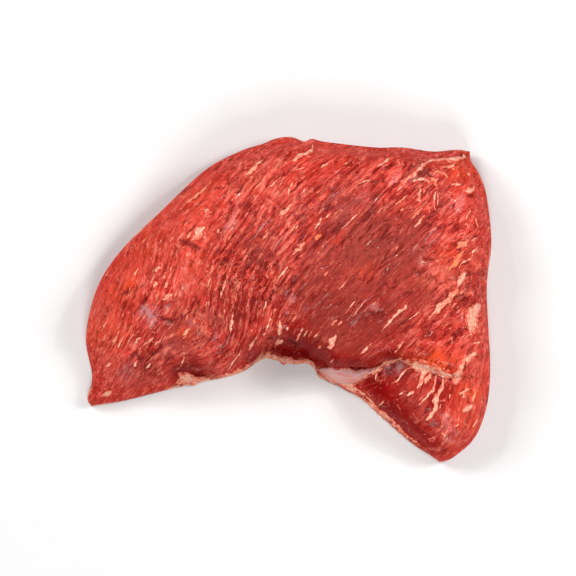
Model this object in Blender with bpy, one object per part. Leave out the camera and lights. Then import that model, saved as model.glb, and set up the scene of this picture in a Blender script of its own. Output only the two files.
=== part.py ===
# Raw beef tri-tip: one solid piece of muscle, lying on its flat side.
# Lengths are in millimetres until the mesh is made. +X runs from the thin tail to the broad end,
# +Y to the long outer edge and +Z up. The origin is the middle of the base.

import itertools

import bpy
import numpy as np

MM = 0.001

# The outline from above, as three edges that meet at the tail, the point and the shoulder.
TAIL = (-99.0, -53.5)
POINT = (75.5, -81.5)
SHOULDER = (90.5, 74.0)

# The inner edge, hollow in the middle, runs from the tail to the point.
INNER_EDGE = (
    TAIL, (-82.0, -50.5), (-62.0, -45.5), (-42.0, -41.0), (-25.0, -37.0), (-13.0, -30.0),
    (-4.0, -30.0), (2.0, -32.0), (8.0, -31.5), (12.5, -34.5), (15.0, -39.0), (21.0, -41.5),
    (29.5, -46.0), (38.0, -51.0), (46.0, -58.5), (60.0, -71.0), (70.5, -78.0), POINT,
)
# The outer edge runs from the tail round the bulging flank and along the top to the shoulder.
OUTER_EDGE = (
    TAIL, (-101.0, -49.5), (-98.5, -38.5), (-101.5, -18.5), (-95.5, 6.5), (-83.0, 25.5),
    (-64.0, 44.0), (-42.0, 64.5), (-24.5, 74.0), (-8.0, 79.0), (0.0, 81.3), (5.0, 79.6), (9.5, 81.0),
    (20.0, 78.5), (43.0, 76.0), (57.0, 76.0), (72.0, 74.0), (84.0, 75.0), SHOULDER,
)
# The broad end runs from the point up to the shoulder.
BROAD_END = (
    POINT, (80.5, -80.0), (85.5, -76.5), (91.0, -71.5), (95.5, -64.0), (99.5, -50.0), (100.5, -30.0),
    (98.7, 5.0), (101.0, 27.0), (99.5, 47.0), (96.5, 60.0), (91.0, 69.5), SHOULDER,
)
# The end of the main muscle, from clear of the inner edge to clear of the broad end.
# On its near side lie a membrane and the lower flap.
MUSCLE_BORDER = (
    (-140.0, -115.0), (-40.0, -80.0), (0.0, -52.0), (6.0, -35.0), (12.5, -30.8), (20.5, -34.7),
    (32.0, -34.5), (41.0, -33.5), (48.0, -30.7), (53.5, -29.5), (60.0, -30.5), (67.0, -32.8),
    (74.0, -35.0), (84.0, -38.0), (108.0, -46.0),
)

# Heights of the top, as places (x, y) and the height of the meat there.
MAIN_HEIGHTS = (
    (-97.0, -50.0, 11.0), (-82.0, -31.0, 21.0), (-86.0, 4.0, 30.0), (-55.0, -6.0, 37.0),
    (-45.0, -33.0, 30.0), (-37.0, 43.0, 41.0), (-5.0, 19.0, 46.0), (-2.0, -19.0, 40.0),
    (10.0, 67.0, 37.0), (45.0, 19.0, 45.0), (72.0, 52.0, 37.0), (89.0, 69.0, 25.0),
    (94.0, 10.0, 37.0), (22.0, -28.0, 37.0), (65.0, -22.0, 41.0), (90.0, -28.0, 36.0),
)
FLAP_HEIGHTS = (
    (15.0, -35.0, 13.0), (28.0, -40.0, 14.0), (39.0, -37.0, 19.0), (53.0, -34.0, 29.0),
    (66.0, -37.0, 33.0), (80.0, -42.0, 34.0), (95.0, -48.0, 34.0), (48.0, -50.0, 23.0),
    (63.0, -51.0, 28.0), (81.0, -58.0, 27.0), (75.0, -76.0, 13.0), (96.0, -64.0, 22.0),
)
HEIGHT_REACH = 15.0

# How far in from the rim the top rolls over, as places (x, y) and the width of the roll there.
ROLL_WIDTHS = (
    (-98.0, -50.0, 10.0), (-98.0, -15.0, 22.0), (-80.0, 28.0, 26.0), (-45.0, 60.0, 26.0),
    (0.0, 80.0, 15.0), (50.0, 76.0, 11.0), (90.0, 72.0, 12.0), (100.0, 20.0, 17.0),
    (99.0, -40.0, 15.0), (88.0, -72.0, 12.0), (50.0, -62.0, 12.0), (25.0, -43.0, 14.0),
    (0.0, -32.0, 13.0), (-40.0, -40.0, 12.0), (-75.0, -48.0, 12.0),
)
ROLL_REACH = 22.0
BORDER_ROLL = 7.0

# The widest line round the piece stands this high, and the underside tucks in below it.
RIM_HEIGHTS = (
    (-99.0, -52.0, 1.6), (-92.0, 10.0, 8.0), (-40.0, 68.0, 8.5), (20.0, 80.0, 8.0), (92.0, 70.0, 5.0),
    (99.0, 10.0, 8.5), (95.0, -55.0, 6.0), (76.0, -81.0, 1.8), (50.0, -62.0, 3.0), (0.0, -32.0, 1.6),
    (-50.0, -43.0, 1.8),
)
RIM_REACH = 20.0
TUCK_WIDTH = 5.0

# Fat of the underside shows as a thin lip outside the inner edge: middle x, half length, width.
FAT_LIPS = ((-48.5, 8.0, 4.0), (-30.0, 14.0, 1.0), (-2.0, 8.5, 5.0), (11.0, 5.0, 2.5))
FAT_LIP_EDGE = 2.5
LIP_RISE = 1.0

# The fibres fan out from a point far beyond the tail, and bend round a few places (x, y), each
# with its reach and the sideways shift at its middle.
FAN_POINT = (-200.0, -225.0)
GRAIN_BENDS = (
    (-30.0, -28.0, 27.0, -17.0), (78.0, -78.0, 38.0, -27.0), (-65.0, 37.0, 22.0, 7.5),
    (28.0, 110.0, 35.0, -25.0),
)
# Bundles of fibres run along the grain as low ridges: width, length and height of each kind.
BUNDLES = ((8.0, 38.0, 1.0), (5.0, 22.0, 0.5))
LUMP_SIZE = 13.0
LUMP_HEIGHT = 0.9
LUMP_SEED = 3
RELIEF_FADE = 6.0

# Above its widest line the wall is pushed in here and there: size and depth of each kind of dent.
DENTS = ((19.0, 3.2), (9.0, 1.2))
DENT_SEED = 10
DENT_RISE = 9.0
DENT_FADE = 16.0

# A seam of fat curls round the shoulder in a shallow groove.
SHOULDER_SEAM = ((92.0, 70.5), (80.0, 71.3), (69.0, 70.8), (62.0, 66.0), (57.0, 58.5))
SEAM_WIDTH = 2.2
SEAM_DEPTH = 1.3

# The mesh: rows near the rim follow its roundness, and the others are spaced evenly.
RIM_ROWS = (0.0, 0.25, 1.0, 2.2, 4.0, 6.2, 9.0)
COLUMNS = 66
ROWS = 34
SECTION_LENGTH = 215.0
SECTION_WIDTH = 112.0
EDGE_SAMPLES = 24
FAN = 0.17
END_PULL = 4
SOLID_COLUMNS = 8
NOISE_CELLS = 32

MEAT_RED = (0.50, 0.075, 0.055, 1.0)


def smooth_line(points):
    """A Catmull-Rom curve through the points, as a fine polyline."""
    p = np.array(points, float)
    p = np.vstack([2 * p[0] - p[1], p, 2 * p[-1] - p[-2]])
    t = np.linspace(0, 1, EDGE_SAMPLES, endpoint=False)[:, None]
    spans = []
    for a, b, c, d in zip(p[:-3], p[1:-2], p[2:-1], p[3:]):
        spans.append(0.5 * (2 * b + (c - a) * t + (2 * a - 5 * b + 4 * c - d) * t**2
                            + (3 * b - a - 3 * c + d) * t**3))
    return np.vstack([*spans, p[-2:-1]])


def point_along(line, share):
    """The points at these shares of the polyline's length."""
    steps = np.hypot(*np.diff(line, axis=0).T)
    length = np.concatenate([[0], np.cumsum(steps)])
    at = np.asarray(share) * length[-1]
    return np.stack([np.interp(at, length, line[:, k]) for k in (0, 1)], axis=-1)


def distance_to(line, x, y):
    """Distance to the polyline, positive on its left."""
    a, step = line[:-1], np.diff(line, axis=0)
    best = np.full(x.shape, np.inf)
    side = np.ones(x.shape)
    for (ax, ay), (sx, sy) in zip(a, step):
        t = np.clip(((x - ax) * sx + (y - ay) * sy) / (sx * sx + sy * sy), 0, 1)
        gap = np.hypot(x - ax - t * sx, y - ay - t * sy)
        closer = gap < best
        best = np.where(closer, gap, best)
        side = np.where(closer, np.sign(sx * (y - ay) - sy * (x - ax)), side)
    return best * np.where(side == 0, 1, side)


def soft_mean(places, reach, x, y):
    """Mean of the values at the named places, each weighted by a bell of this reach."""
    total = np.zeros(x.shape)
    weight = np.full(x.shape, 1e-12)
    for px, py, value in places:
        w = np.exp(-((x - px) ** 2 + (y - py) ** 2) / (2 * reach**2))
        total += w * value
        weight += w
    return total / weight


def quarter_round(t):
    """0 at the rim and 1 from t = 1 on, rising as a quarter of an ellipse."""
    return np.sqrt(1 - (1 - np.clip(t, 0, 1)) ** 2)


def bell(t):
    return np.exp(-t * t)


def ripple(seed, *axes):
    """Smooth random relief between -1 and 1, with about one bump for each unit of every axis."""
    table = np.random.default_rng(seed).uniform(-1, 1, (NOISE_CELLS,) * len(axes))
    cells = [np.floor(a).astype(int) for a in axes]
    parts = [(a - c) ** 2 * (3 - 2 * (a - c)) for a, c in zip(axes, cells)]
    total = 0.0
    for corner in itertools.product((0, 1), repeat=len(axes)):
        weight = 1.0
        for part, far in zip(parts, corner):
            weight = weight * (part if far else 1 - part)
        total = total + weight * table[tuple((c + far) % NOISE_CELLS for c, far in zip(cells, corner))]
    return total


def grain(x, y):
    """Where a place lies across the grain and along it: arc and radius round the fan's point."""
    fx, fy = FAN_POINT
    radius = np.hypot(fx, fy)
    across = radius * (np.arctan2(-fy, -fx) - np.arctan2(y - fy, x - fx))
    for bx, by, reach, shift in GRAIN_BENDS:
        across += shift * bell(np.hypot(x - bx, y - by) / reach)
    return across, np.hypot(x - fx, y - fy) - radius


def lip_width(x):
    """How far the fat of the underside stands out of the inner edge at this x."""
    width = np.zeros(x.shape)
    for middle, half, out in FAT_LIPS:
        width = np.maximum(width, out * bell(np.maximum(np.abs(x - middle) - half, 0) / FAT_LIP_EDGE))
    return width


def rim_rows(count, length):
    """Shares from 0 to 1: the rim's own rows at both ends, and count even ones between."""
    near = np.array(RIM_ROWS) / length
    return np.concatenate([near[:-1], np.linspace(near[-1], 1 - near[-1], count + 1), 1 - near[-2::-1]])


def sections():
    """The grid of places (columns, rows, 2): sections from the inner to the outer edge."""
    inner, outer, end = (smooth_line(e) for e in (INNER_EDGE, OUTER_EDGE, BROAD_END))
    v = rim_rows(ROWS, SECTION_WIDTH)
    u = rim_rows(COLUMNS, SECTION_LENGTH)
    u = np.concatenate([[0], u[len(RIM_ROWS) - 1:]])
    a = point_along(inner, u)[:, None]
    b = point_along(outer, u + FAN * np.sin(np.pi * u))[:, None]
    chord = (1 - v)[:, None] * np.array(POINT) + v[:, None] * np.array(SHOULDER)
    bulge = (point_along(end, v) - chord)[None]
    s = v[None, :, None]
    return (1 - s) * a + s * b + (u ** END_PULL)[:, None, None] * bulge


def heights(x, y):
    """The heights of the top and of the underside at these places."""
    inner, outer, end = (smooth_line(e) for e in (INNER_EDGE, OUTER_EDGE, BROAD_END))
    to_inner, to_outer, to_end = (np.abs(distance_to(e, x, y)) for e in (inner, outer, end))
    from_rim = np.minimum(np.minimum(to_inner, to_outer), to_end)
    from_meat = np.minimum(np.minimum(np.maximum(to_inner - lip_width(x), 0), to_outer), to_end)
    rim = soft_mean(RIM_HEIGHTS, RIM_REACH, x, y)

    flap = soft_mean(FLAP_HEIGHTS, HEIGHT_REACH, x, y)
    main = soft_mean(MAIN_HEIGHTS, HEIGHT_REACH, x, y)
    from_border = distance_to(smooth_line(MUSCLE_BORDER), x, y)
    crown = flap + (main - flap) * quarter_round(from_border / BORDER_ROLL)

    across, along = grain(x, y)
    relief = LUMP_HEIGHT * ripple(LUMP_SEED, x / LUMP_SIZE, y / LUMP_SIZE)
    for seed, (width, length, height) in enumerate(BUNDLES):
        relief += height * ripple(seed, across / width, along / length)
    seam = distance_to(smooth_line(SHOULDER_SEAM), x, y)
    relief -= SEAM_DEPTH * bell(seam / SEAM_WIDTH)
    relief *= np.clip(from_meat / RELIEF_FADE, 0, 1)

    roll = soft_mean(ROLL_WIDTHS, ROLL_REACH, x, y)
    lip = LIP_RISE * quarter_round(from_rim / TUCK_WIDTH)
    top = rim + lip + (crown - rim - LIP_RISE) * quarter_round(from_meat / roll) + relief
    under = rim * (1 - quarter_round(from_rim / TUCK_WIDTH))
    return top, under, from_rim


def dented(x, y, z, from_rim):
    """The places of the grid, with its walls pushed in by smooth dents. The outline stays."""
    surface = np.stack([x, y, z], -1)
    outward = np.cross(np.gradient(surface, axis=0), np.gradient(surface, axis=1))[..., :2]
    outward[0] = outward[1]
    outward /= np.linalg.norm(outward, axis=-1, keepdims=True) + 1e-9
    push = sum(
        depth * (ripple(DENT_SEED + k, x / size, y / size, z / size) - 1) / 2
        for k, (size, depth) in enumerate(DENTS)
    )
    rise = soft_mean(RIM_HEIGHTS, RIM_REACH, x, y)
    push = push * np.clip((z - rise) / DENT_RISE, 0, 1) * np.clip(1 - from_rim / DENT_FADE, 0, 1)
    push[0] = 0
    return x + outward[..., 0] * push, y + outward[..., 1] * push


def tri_tip_mesh():
    """The closed mesh: a top grid, an underside that shares its rim, and one flat base face."""
    places = sections()
    x, y = places[..., 0], places[..., 1]
    top, under, from_rim = heights(x, y)
    columns, rows = x.shape
    i, j = np.mgrid[:columns, :rows]
    rim = (i == 0) | (i == columns - 1) | (j == 0) | (j == rows - 1)
    top[rim] = under[rim]
    inset = len(RIM_ROWS) - 1
    last = columns - 1 - inset
    base = (i >= SOLID_COLUMNS) & (i <= last) & (j >= inset) & (j <= rows - 1 - inset)
    under[base] = 0.0
    inside = (i > SOLID_COLUMNS) & (i < last) & (j > inset) & (j < rows - 1 - inset)

    # Every top place is a vertex, except that the tail's first column is one point.
    above = i * rows + j - (rows - 1)
    above[0] = 0
    below = above.copy()
    own = ~rim & ~inside
    below[own] = above.max() + 1 + np.arange(own.sum())
    top_x, top_y = dented(x, y, top, from_rim)
    points = np.vstack([
        np.stack([top_x, top_y, top], -1).reshape(-1, 3)[rows - 1:],
        np.stack([top_x, top_y, under], -1)[own],
    ])
    centre = (points.min(0) + points.max(0)) / 2
    points -= (centre[0], centre[1], 0)

    faces = []
    for c in range(columns - 1):
        for r in range(rows - 1):
            corners = [(c, r), (c + 1, r), (c + 1, r + 1), (c, r + 1)]
            faces.append(list(dict.fromkeys(int(above[k]) for k in corners)))
            if not all(base[k] for k in corners):
                faces.append(list(dict.fromkeys(int(below[k]) for k in reversed(corners))))
    first, low, high = SOLID_COLUMNS, inset, rows - 1 - inset
    loop = [(c, low) for c in range(first, last)] + [(last, r) for r in range(low, high)]
    loop += [(c, high) for c in range(last, first, -1)] + [(first, r) for r in range(high, low, -1)]
    faces.append([int(below[k]) for k in reversed(loop)])

    mesh = bpy.data.meshes.new("tri_tip")
    mesh.from_pydata((points * MM).tolist(), [], faces)
    mesh.shade_smooth()
    return mesh


def raw_meat():
    material = bpy.data.materials.new("raw_beef")
    material.use_nodes = True
    shader = material.node_tree.nodes["Principled BSDF"]
    shader.inputs["Base Color"].default_value = MEAT_RED
    shader.inputs["Roughness"].default_value = 0.42
    shader.inputs["Metallic"].default_value = 0.0
    return material


def main():
    for old in list(bpy.data.objects):
        bpy.data.objects.remove(old, do_unlink=True)
    piece = bpy.data.objects.new("tri_tip", tri_tip_mesh())
    piece.data.materials.append(raw_meat())
    bpy.context.scene.collection.objects.link(piece)


main()
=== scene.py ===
# Raw beef tri-tip, one whole piece of meat that lies on a pale floor.
# Lengths are in millimetres until a mesh is made. +X runs from the thin tail to the broad end.

import itertools
import math

import bpy
import numpy as np
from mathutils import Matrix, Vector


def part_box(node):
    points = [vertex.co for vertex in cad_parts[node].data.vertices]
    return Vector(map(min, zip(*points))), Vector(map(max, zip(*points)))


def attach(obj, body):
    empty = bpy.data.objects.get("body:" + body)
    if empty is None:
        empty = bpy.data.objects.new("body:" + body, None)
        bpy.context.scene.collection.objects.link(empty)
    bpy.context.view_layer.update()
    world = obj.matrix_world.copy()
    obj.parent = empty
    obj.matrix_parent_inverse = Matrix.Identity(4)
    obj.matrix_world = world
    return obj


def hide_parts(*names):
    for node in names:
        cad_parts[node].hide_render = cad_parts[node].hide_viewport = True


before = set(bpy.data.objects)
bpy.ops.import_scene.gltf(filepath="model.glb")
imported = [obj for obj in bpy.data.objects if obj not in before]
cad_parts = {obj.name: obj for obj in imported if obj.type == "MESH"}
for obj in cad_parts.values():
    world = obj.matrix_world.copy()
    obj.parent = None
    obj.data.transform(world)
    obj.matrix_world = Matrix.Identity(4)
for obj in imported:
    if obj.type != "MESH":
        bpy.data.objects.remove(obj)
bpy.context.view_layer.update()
MM = 0.001

# The muscle. It is one trimmed cut of raw beef, wet red muscle in long bundles of fibres, and it
# was cut from its neighbours with a knife: a thin tail at the left, a thick middle, a broad end,
# and a lower flap that a membrane ties to the rest. It lies on its flat side.

# The outline from above, as three edges that meet at the tail, the point and the shoulder.
TAIL = (-99, -53.5)
POINT = (75.5, -81.5)
SHOULDER = (90.5, 74)
INNER_EDGE = (
    TAIL, (-82, -50.5), (-62, -45.5), (-42, -41), (-25, -37), (-13, -30), (-4, -30), (2, -32),
    (8, -31.5), (12.5, -34.5), (15, -39), (21, -41.5), (29.5, -46), (38, -51), (46, -58.5), (60, -71),
    (70.5, -78), POINT,
)
OUTER_EDGE = (
    TAIL, (-101, -49.5), (-98.5, -38.5), (-101.5, -18.5), (-95.5, 6.5), (-83, 25.5), (-64, 44),
    (-42, 64.5), (-24.5, 74), (-13, 77.8), (-7, 80.3), (-2, 81.2), (2.5, 81), (5.5, 79.8), (8, 79),
    (10, 79.9), (12, 80.3), (14.5, 79.5), (20, 78.5), (43, 76), (57, 76), (72, 74), (84, 75), SHOULDER,
)
BROAD_END = (
    POINT, (80.5, -80), (85.5, -76.5), (91, -71.5), (95.5, -64), (99.5, -50), (100.5, -30), (98.7, 5),
    (101, 27), (99.5, 47), (96.5, 60), (91, 69.5), SHOULDER,
)
# The end of the main muscle. On its near side lie the membrane and the flap.
MUSCLE_BORDER = (
    (-140, -115), (-40, -80), (0, -52), (6, -35), (12.5, -30.8), (20.5, -34.7), (32, -34.5),
    (41, -33.5), (48, -30.7), (53.5, -29.5), (60, -30.5), (67, -32.8), (74, -35), (84, -38), (108, -46),
)
# Places (x, y) and the height of the meat there.
MAIN_HEIGHTS = (
    (-97, -50, 11), (-82, -31, 21), (-86, 4, 30), (-55, -6, 37), (-45, -33, 30), (-37, 43, 41),
    (-5, 19, 46), (-2, -19, 40), (10, 67, 37), (45, 19, 45), (72, 52, 37), (89, 69, 25), (94, 10, 37),
    (22, -28, 37), (65, -22, 41), (90, -28, 36),
)
FLAP_HEIGHTS = (
    (15, -35, 13), (28, -40, 14), (39, -37, 19), (53, -34, 29), (66, -37, 33), (80, -42, 34),
    (95, -48, 34), (48, -50, 23), (63, -51, 28), (81, -58, 27), (75, -76, 13), (96, -64, 22),
)
HEIGHT_REACH = 15.0
# Places and how far in from the rim the top rolls over there.
ROLL_WIDTHS = (
    (-98, -50, 10), (-98, -15, 22), (-80, 28, 26), (-45, 60, 26), (0, 80, 15), (50, 76, 10),
    (90, 72, 8), (100, 20, 17), (99, -40, 15), (88, -72, 12), (50, -62, 12), (25, -43, 14),
    (0, -32, 13), (-40, -40, 12), (-75, -48, 12),
)
ROLL_REACH = 22.0
BORDER_ROLL = 7.0
# Places and how high the widest line stands there.
RIM_HEIGHTS = (
    (-99, -52, 1.6), (-92, 10, 8), (-40, 68, 8.5), (20, 80, 8), (92, 70, 5), (99, 10, 8.5),
    (95, -55, 6), (76, -81, 1.8), (50, -62, 3), (0, -32, 1.6), (-50, -43, 1.8),
)
RIM_REACH = 20.0
TUCK_WIDTH = 5.0
# Fat of the underside stands out of the inner edge: middle x, half length and width of each lip.
FAT_LIPS = ((-48.5, 8, 4), (-30, 14, 1), (-2, 8.5, 5), (11, 5, 2.5))
FAT_LIP_EDGE = 4.0
LIP_RISE = 1.0
# The fibres fan out from a far point, and bend round these places: reach, and shift at the middle.
FAN_POINT = (-200, -225)
GRAIN_BENDS = ((-30, -28, 27, -17), (78, -78, 38, -27), (-65, 37, 22, 7.5), (28, 110, 35, -25))
# Bundles of fibres: width across the grain, length along it, and height. The lumps are broader.
BUNDLES = ((8, 38, 1), (5, 22, 0.5))
LUMP_SIZE = 13.0
LUMP_HEIGHT = 0.9
LUMP_SEED = 3
RELIEF_FADE = 6.0
# Dents in the walls: size and depth.
DENTS = ((19, 3.2), (9, 1.2))
DENT_SEED = 10
DENT_RISE = 9.0
DENT_FADE = 16.0
SHOULDER_SEAM = ((92, 70.5), (80, 71.3), (69, 70.8), (62, 66), (57, 58.5))
SEAM_WIDTH = 2.2
SEAM_DEPTH = 1.3
# The most that zones add up to where they overlap.
ZONE_LIMIT = 1.5

# Finer relief than the bundles: width across the grain, length along it, and height.
FIBRES = ((3.2, 22, 0.34), (1.9, 12, 0.22), (5.5, 7, 0.32))
FIBRE_SEED = 20
FIBRE_DEPTH = 3.0
# How many cells a ripple has before it repeats, in the fine relief and elsewhere.
FIBRE_CELLS = 64
CELLS = 32
# Slits between the bundles: width, length and depth, and the size of the patches with slits.
SLIT = (2.4, 17, 0.55)
SLIT_SHARE = 0.08
SLIT_SEED = 40
SLIT_PATCH = 8.0
# Short pits: width, length and depth, and the zones that they wrinkle.
PIT = (1.9, 4.2, 0.45)
PIT_SEED = 50
PIT_ZONES = ((-22, 10, 18, 1), (-60, -20, 20, 0.4), (60, -22, 12, 0.4), (92, 10, 18, 0.8))
RELIEF_FLOOR = 4.0
RIM_FADE = 3.0
# How dark the painted shade of a pit and a nick is, next to a slit.
PIT_SHADE = 0.5
NICK_SHADE = 1.5
# Knife nicks and tears: both ends, half width and depth.
NICKS = (
    (-53.5, 29.3, -43.6, 24.6, 0.9, 2.2), (-65, -9, -56, -11.6, 0.7, 1.3),
    (89, 52.6, 93.6, 51.8, 0.7, 1.8), (-71.5, -30.8, -62.5, -22.3, 0.55, 0.7),
    (66, 20.4, 72, 19.6, 0.7, 1), (-76, -26.8, -73, -31.3, 0.7, 0.9), (49, 55.3, 24, 25.8, 0.55, 0.6),
    (45, 47, 33, 36, 0.55, 0.6), (79, 14.5, 84.5, 21, 0.7, 0.9), (68.2, -55, 68.8, -56, 0.6, 1.5),
    (-29, 48.8, -29, 46.8, 0.6, 1.2), (69, 63.3, 70, 61.3, 0.6, 1.4), (18, 43, 20.5, 47.5, 0.8, 1),
    (31, -37.8, 36, -38, 0.7, 1), (-2, -21.5, 6.5, -24.5, 0.9, 1.1),
    (-10.5, -20, -4.5, -20.5, 0.8, 0.9), (47.5, -35.2, 50.5, -34.8, 0.7, 0.8),
)

# The mesh of the muscle: how many rows it has, the spacing of its columns, and the close steps
# over the roll-over at their ends. The rows are spaced in plan first, and then over the surface.
ROWS = 208
SPACING = 0.72
ROLL_STEPS = 20
ROLL_SPAN = 12.0
TRIAL_SPACING = 0.9
SECTION_LENGTH = 215.0
SECTION_WIDTH = 112.0
EDGE_SAMPLES = 12
# How far the columns fan out on the outer edge, and how late the bulge of the broad end sets in.
FAN = 0.17
END_PULL = 4
# How far the flat base face stays in from the rim.
BASE_ROWS = 54
BASE_INSET = 9.0
BASE_START = 14.0
SLOPE_STEP = 0.4


def smooth_line(points):
    """A Catmull-Rom curve through the points, as a fine polyline."""
    p = np.array(points, float)
    p = np.vstack([2 * p[0] - p[1], p, 2 * p[-1] - p[-2]])
    t = np.linspace(0, 1, EDGE_SAMPLES, endpoint=False)[:, None]
    spans = []
    for a, b, c, d in zip(p[:-3], p[1:-2], p[2:-1], p[3:]):
        spans.append(0.5 * (2 * b + (c - a) * t + (2 * a - 5 * b + 4 * c - d) * t**2
                            + (3 * b - a - 3 * c + d) * t**3))
    return np.vstack([*spans, p[-2:-1]])


def point_along(line, share):
    """The points at these shares of the polyline's length."""
    steps = np.hypot(*np.diff(line, axis=0).T)
    length = np.concatenate([[0], np.cumsum(steps)])
    at = np.asarray(share) * length[-1]
    return np.stack([np.interp(at, length, line[:, k]) for k in (0, 1)], axis=-1)


def distance_to(line, x, y):
    """Distance to the polyline, positive on its left: the least over its straight steps."""
    best = np.full(x.shape, np.inf)
    side = np.ones(x.shape)
    for (ax, ay), (sx, sy) in zip(line[:-1], np.diff(line, axis=0)):
        t = np.clip(((x - ax) * sx + (y - ay) * sy) / (sx * sx + sy * sy), 0, 1)
        gap = np.hypot(x - ax - t * sx, y - ay - t * sy)
        closer = gap < best
        best = np.where(closer, gap, best)
        side = np.where(closer, np.sign(sx * (y - ay) - sy * (x - ax)), side)
    return best * np.where(side == 0, 1, side)


def bell(t):
    """1 at the middle, falling off as exp(-t squared)."""
    return np.exp(-t * t)


def soft_mean(places, reach, x, y):
    """Mean of the values at the places, each weighted by a bell of this reach."""
    total = np.zeros(x.shape)
    weight = np.full(x.shape, 1e-12)
    for px, py, value in places:
        w = np.exp(-((x - px) ** 2 + (y - py) ** 2) / (2 * reach**2))
        total += w * value
        weight += w
    return total / weight


def quarter_round(t):
    """0 at the rim and 1 from t = 1 on, rising as a quarter of an ellipse."""
    return np.sqrt(1 - (1 - np.clip(t, 0, 1)) ** 2)


def smooth_step(low, high, t):
    """0 at low and 1 at high, with an S curve between."""
    t = np.clip((t - low) / (high - low), 0, 1)
    return t * t * (3 - 2 * t)


def ripple(seed, *axes, cells=CELLS):
    """Smooth random relief from -1 to 1: random values at whole steps, blended between them."""
    table = np.random.default_rng(seed).uniform(-1, 1, (cells,) * len(axes))
    whole = [np.floor(a).astype(int) for a in axes]
    parts = [(a - c) ** 2 * (3 - 2 * (a - c)) for a, c in zip(axes, whole)]
    total = 0.0
    for corner in itertools.product((0, 1), repeat=len(axes)):
        weight = 1.0
        for part, far in zip(parts, corner):
            weight = weight * (part if far else 1 - part)
        total = total + weight * table[tuple((c + far) % cells for c, far in zip(whole, corner))]
    return total


def grain(x, y):
    """Where a place lies across the grain and along it: arc and radius round the fan's point."""
    fx, fy = FAN_POINT
    radius = np.hypot(fx, fy)
    across = radius * (np.arctan2(-fy, -fx) - np.arctan2(y - fy, x - fx))
    for bx, by, reach, shift in GRAIN_BENDS:
        across += shift * bell(np.hypot(x - bx, y - by) / reach)
    return across, np.hypot(x - fx, y - fy) - radius


def lip_width(x):
    """How far the fat of the underside stands out of the inner edge at this x."""
    width = np.zeros(x.shape)
    for middle, half, out in FAT_LIPS:
        width = np.maximum(width, out * bell(np.maximum(np.abs(x - middle) - half, 0) / FAT_LIP_EDGE))
    return width


edge_lines = [smooth_line(e) for e in (INNER_EDGE, OUTER_EDGE, BROAD_END)]
# The meat is on the left of the inner edge and the broad end, and on the right of the outer edge.
INSIDE = (1, -1, 1)
border_line = smooth_line(MUSCLE_BORDER)
seam_line = smooth_line(SHOULDER_SEAM)


def heights(x, y):
    """The heights of the top and the underside: rim, roll-over, crown of each muscle, bundles."""
    to_inner, to_outer, to_end = (distance_to(e, x, y) * side for e, side in zip(edge_lines, INSIDE))
    from_rim = np.minimum(np.minimum(to_inner, to_outer), to_end)
    from_meat = np.minimum(np.minimum(np.maximum(to_inner - lip_width(x), 0), to_outer), to_end)
    rim = soft_mean(RIM_HEIGHTS, RIM_REACH, x, y)
    flap = soft_mean(FLAP_HEIGHTS, HEIGHT_REACH, x, y)
    main = soft_mean(MAIN_HEIGHTS, HEIGHT_REACH, x, y)
    crown = flap + (main - flap) * quarter_round(distance_to(border_line, x, y) / BORDER_ROLL)
    across, along = grain(x, y)
    relief = LUMP_HEIGHT * ripple(LUMP_SEED, x / LUMP_SIZE, y / LUMP_SIZE)
    for seed, (width, length, height) in enumerate(BUNDLES):
        relief += height * ripple(seed, across / width, along / length)
    relief -= SEAM_DEPTH * bell(distance_to(seam_line, x, y) / SEAM_WIDTH)
    relief *= np.clip(from_meat / RELIEF_FADE, 0, 1)
    roll = soft_mean(ROLL_WIDTHS, ROLL_REACH, x, y)
    lip = LIP_RISE * quarter_round(from_rim / TUCK_WIDTH)
    top = rim + lip + (crown - rim - LIP_RISE) * quarter_round(from_meat / roll) + relief
    under = rim * (1 - quarter_round(from_rim / TUCK_WIDTH))
    return top, under, from_rim, rim


def bare_surface(x, y):
    """Points of the top, their outward normals, the underside's height and the way to the rim.

    The walls are pushed in by dents along the level part of the normal."""
    top, under, from_rim, rim = heights(x, y)
    slope_x = (heights(x + SLOPE_STEP, y)[0] - heights(x - SLOPE_STEP, y)[0]) / (2 * SLOPE_STEP)
    slope_y = (heights(x, y + SLOPE_STEP)[0] - heights(x, y - SLOPE_STEP)[0]) / (2 * SLOPE_STEP)
    normal = np.stack([-slope_x, -slope_y, np.ones(x.shape)], -1)
    normal /= np.linalg.norm(normal, axis=-1, keepdims=True)
    level = normal[..., :2] / (np.linalg.norm(normal[..., :2], axis=-1, keepdims=True) + 1e-9)
    push = 0.0
    for k, (size, depth) in enumerate(DENTS):
        push = push + depth * (ripple(DENT_SEED + k, x / size, y / size, top / size) - 1) / 2
    push = push * np.clip((top - rim) / DENT_RISE, 0, 1) * np.clip(1 - from_rim / DENT_FADE, 0, 1)
    points = np.stack([x + level[..., 0] * push, y + level[..., 1] * push, top], -1)
    return points, normal, under, from_rim


def fibre_places(points):
    """The place of each point in the grain: across it, along it, and its height."""
    across, along = grain(points[..., 0], points[..., 1])
    return np.stack([across, along, points[..., 2]], -1)


def zone(places, x, y):
    """How much the places count here: a sum of bells, each of its own size and strength."""
    total = np.zeros(x.shape)
    for px, py, size, strength in places:
        total += strength * bell(np.hypot(x - px, y - py) / size)
    return np.clip(total, 0, ZONE_LIMIT)


def strands(seed, fibre, width, length, depth, cells=FIBRE_CELLS):
    """A ripple drawn out along the fibres: the place in the grain over width, length and depth."""
    across, along, rise = np.moveaxis(fibre, -1, 0)
    return ripple(seed, across / width, along / length, rise / depth, cells=cells)


def slit_depth(fibre):
    """0 to 1 where the bundles part: thin lines where a long ripple crosses 0, in patches."""
    width, length, _ = SLIT
    line = strands(SLIT_SEED, fibre, width, length, length)
    patch = strands(SLIT_SEED + 1, fibre, SLIT_PATCH, SLIT_PATCH, SLIT_PATCH, CELLS)
    return bell(line / SLIT_SHARE) * smooth_step(0.0, 0.5, patch)


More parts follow.
